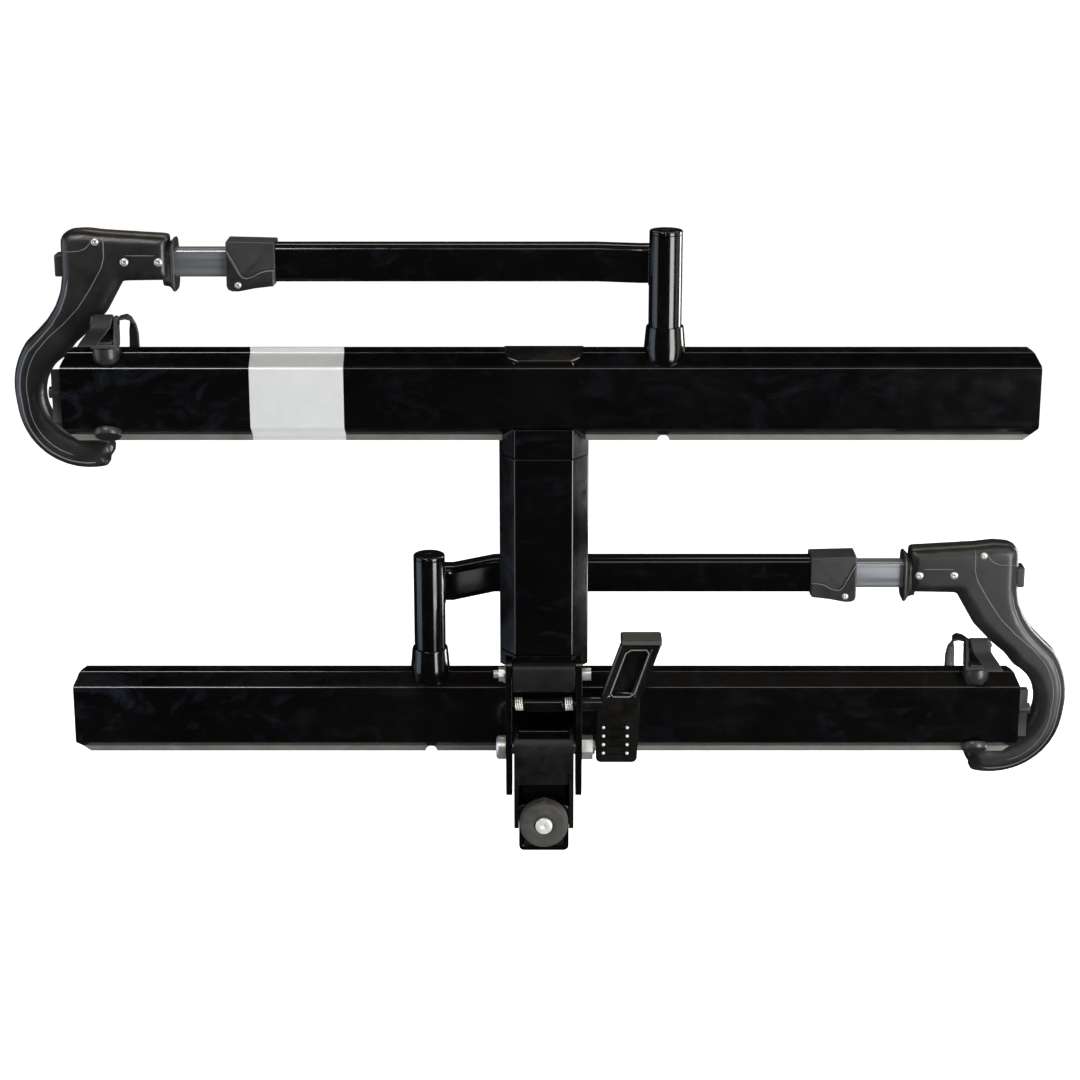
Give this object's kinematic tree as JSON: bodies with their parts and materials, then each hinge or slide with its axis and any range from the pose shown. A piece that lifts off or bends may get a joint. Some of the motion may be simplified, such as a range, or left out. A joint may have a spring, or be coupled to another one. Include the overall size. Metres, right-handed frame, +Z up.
{
  "type": "hitch mounted bike rack",
  "caption": "Folded two-tray platform bike rack with a square receiver stinger, tilting spine, swinging hook arms on posts, strap buckles and a foot lever.",
  "frame": {"origin": "bottom face of the stinger tube, under the hitch pin hole", "axes": "+X across the vehicle to the side with the foot lever, +Y along the stinger into the vehicle, +Z up"},
  "size_m": [1.0853, 0.3588, 0.6372],
  "materials": {
    "gloss_black_steel": "gloss black powder coat",
    "matte_black_steel": "matte black coat",
    "aluminium_bar": "satin anodised",
    "zinc_steel": "bright zinc plate",
    "grey_plastic": "fine grained moulded nylon",
    "grip_rubber": "matte moulded rubber",
    "silver_hub": "satin"
  },
  "bodies": {
    "stinger": {"stinger_tube": "gloss_black_steel", "stinger_end_plate": "matte_black_steel", "stinger_bracket": "matte_black_steel", "stop_bar": "gloss_black_steel", "pivot_bolt": "zinc_steel", "pivot_nut": "zinc_steel"},
    "tension_knob": {"knob": "grip_rubber", "knob_hub": "silver_hub", "draw_rod": "zinc_steel"},
    "tension_wedge": {"cam_wedge": "zinc_steel"},
    "spine": {"spine_tube": "gloss_black_steel", "spine_adapter": "gloss_black_steel", "spine_end_cap": "gloss_black_steel", "spine_foot": "gloss_black_steel", "cheek_left": "gloss_black_steel", "cheek_right": "gloss_black_steel", "hinge_cover": "matte_black_steel", "foot_bolt": "zinc_steel", "foot_nut": "zinc_steel", "tray_outer": "gloss_black_steel", "arm_socket_outer": "gloss_black_steel", "tray_insert_outer": "grey_plastic", "strap_bell_outer": "grey_plastic", "strap_puck_outer": "grey_plastic", "strap_outer": "grey_plastic", "buckle_body_outer": "grey_plastic", "tray_inner": "gloss_black_steel", "arm_socket_inner": "gloss_black_steel", "tray_insert_inner": "grey_plastic", "strap_bell_inner": "grey_plastic", "strap_puck_inner": "grey_plastic", "strap_inner": "grey_plastic", "buckle_body_inner": "grey_plastic"},
    "tilt_lever": {"foot_lever": "gloss_black_steel", "latch_shaft": "matte_black_steel", "latch_roller": "gloss_black_steel", "latch_spring_left": "zinc_steel", "latch_spring_right": "zinc_steel"},
    "arm_outer": {"arm_frame_outer": "gloss_black_steel", "post_cap_outer": "gloss_black_steel", "collar_outer": "grey_plastic"},
    "collar_release_outer": {"collar_lever_outer": "grey_plastic"},
    "wheel_hook_outer": {"hook_outer": "grey_plastic", "inner_bar_outer": "aluminium_bar", "rivet_near_outer": "zinc_steel", "rivet_far_outer": "zinc_steel"},
    "hook_release_outer": {"hook_button_outer": "grey_plastic"},
    "buckle_outer": {"buckle_lever_outer": "grey_plastic"},
    "arm_inner": {"arm_frame_inner": "gloss_black_steel", "post_cap_inner": "gloss_black_steel", "collar_inner": "grey_plastic"},
    "collar_release_inner": {"collar_lever_inner": "grey_plastic"},
    "wheel_hook_inner": {"hook_inner": "grey_plastic", "inner_bar_inner": "aluminium_bar", "rivet_near_inner": "zinc_steel", "rivet_far_inner": "zinc_steel"},
    "hook_release_inner": {"hook_button_inner": "grey_plastic"},
    "buckle_inner": {"buckle_lever_inner": "grey_plastic"}
  },
  "joints": [
    {"name": "tilt", "type": "hinge", "parent": "stinger", "child": "spine", "pos_m": [0, -0.198, 0.1037], "axis": [1, 0, 0], "range_deg": [0, 115]},
    {"name": "tilt_release", "type": "hinge", "parent": "spine", "child": "tilt_lever", "pos_m": [0, -0.208, 0.1552], "axis": [1, 0, 0], "range_deg": [0, 20], "stiffness_Nm_per_rad": 2, "springref_deg": -20.05},
    {"name": "knob_turn", "type": "hinge", "parent": "stinger", "child": "tension_knob", "pos_m": [0, -0.222, 0.0353], "axis": [0, 1, 0], "range_deg": [0, 1080]},
    {"name": "wedge_travel", "type": "slide", "parent": "stinger", "child": "tension_wedge", "axis": [0, 1, 0], "range_m": [0, 0.006]},
    {"name": "arm_swing_outer", "type": "hinge", "parent": "spine", "child": "arm_outer", "pos_m": [0.1184, -0.184, 0.6007], "axis": [0, 0, 1], "range_deg": [-150, 0]},
    {"name": "hook_extend_outer", "type": "slide", "parent": "arm_outer", "child": "wheel_hook_outer", "axis": [-1, 0, 0], "range_m": [0, 0.18]},
    {"name": "hook_button_press_outer", "type": "slide", "parent": "wheel_hook_outer", "child": "hook_release_outer", "axis": [1, 0, 0], "range_m": [0, 0.005], "stiffness_N_per_m": 400, "springref_m": -0.004},
    {"name": "collar_lever_swing_outer", "type": "hinge", "parent": "arm_outer", "child": "collar_release_outer", "pos_m": [-0.3, -0.156, 0.5804], "axis": [0, 1, 0], "range_deg": [0, 28], "stiffness_Nm_per_rad": 0.2, "springref_deg": -22.92},
    {"name": "buckle_lift_outer", "type": "hinge", "parent": "spine", "child": "buckle_outer", "pos_m": [-0.429, -0.192, 0.5467], "axis": [-1, 0, 0], "range_deg": [0, 70]},
    {"name": "arm_swing_inner", "type": "hinge", "parent": "spine", "child": "arm_inner", "pos_m": [-0.1184, -0.13365, 0.2542], "axis": [0, 0, 1], "range_deg": [0, 150]},
    {"name": "hook_extend_inner", "type": "slide", "parent": "arm_inner", "child": "wheel_hook_inner", "axis": [1, 0, 0], "range_m": [0, 0.18]},
    {"name": "hook_button_press_inner", "type": "slide", "parent": "wheel_hook_inner", "child": "hook_release_inner", "axis": [-1, 0, 0], "range_m": [0, 0.005], "stiffness_N_per_m": 400, "springref_m": -0.004},
    {"name": "collar_lever_swing_inner", "type": "hinge", "parent": "arm_inner", "child": "collar_release_inner", "pos_m": [0.3165, -0.08665, 0.2339], "axis": [0, -1, 0], "range_deg": [0, 28], "stiffness_Nm_per_rad": 0.2, "springref_deg": -22.92},
    {"name": "buckle_lift_inner", "type": "hinge", "parent": "spine", "child": "buckle_inner", "pos_m": [0.4505, -0.14165, 0.1937], "axis": [-1, 0, 0], "range_deg": [0, 70]}
  ],
  "couplings": [
    {"joint": "knob_turn", "follows": "wedge_travel", "rad_per_m": 3141.6}
  ]
}
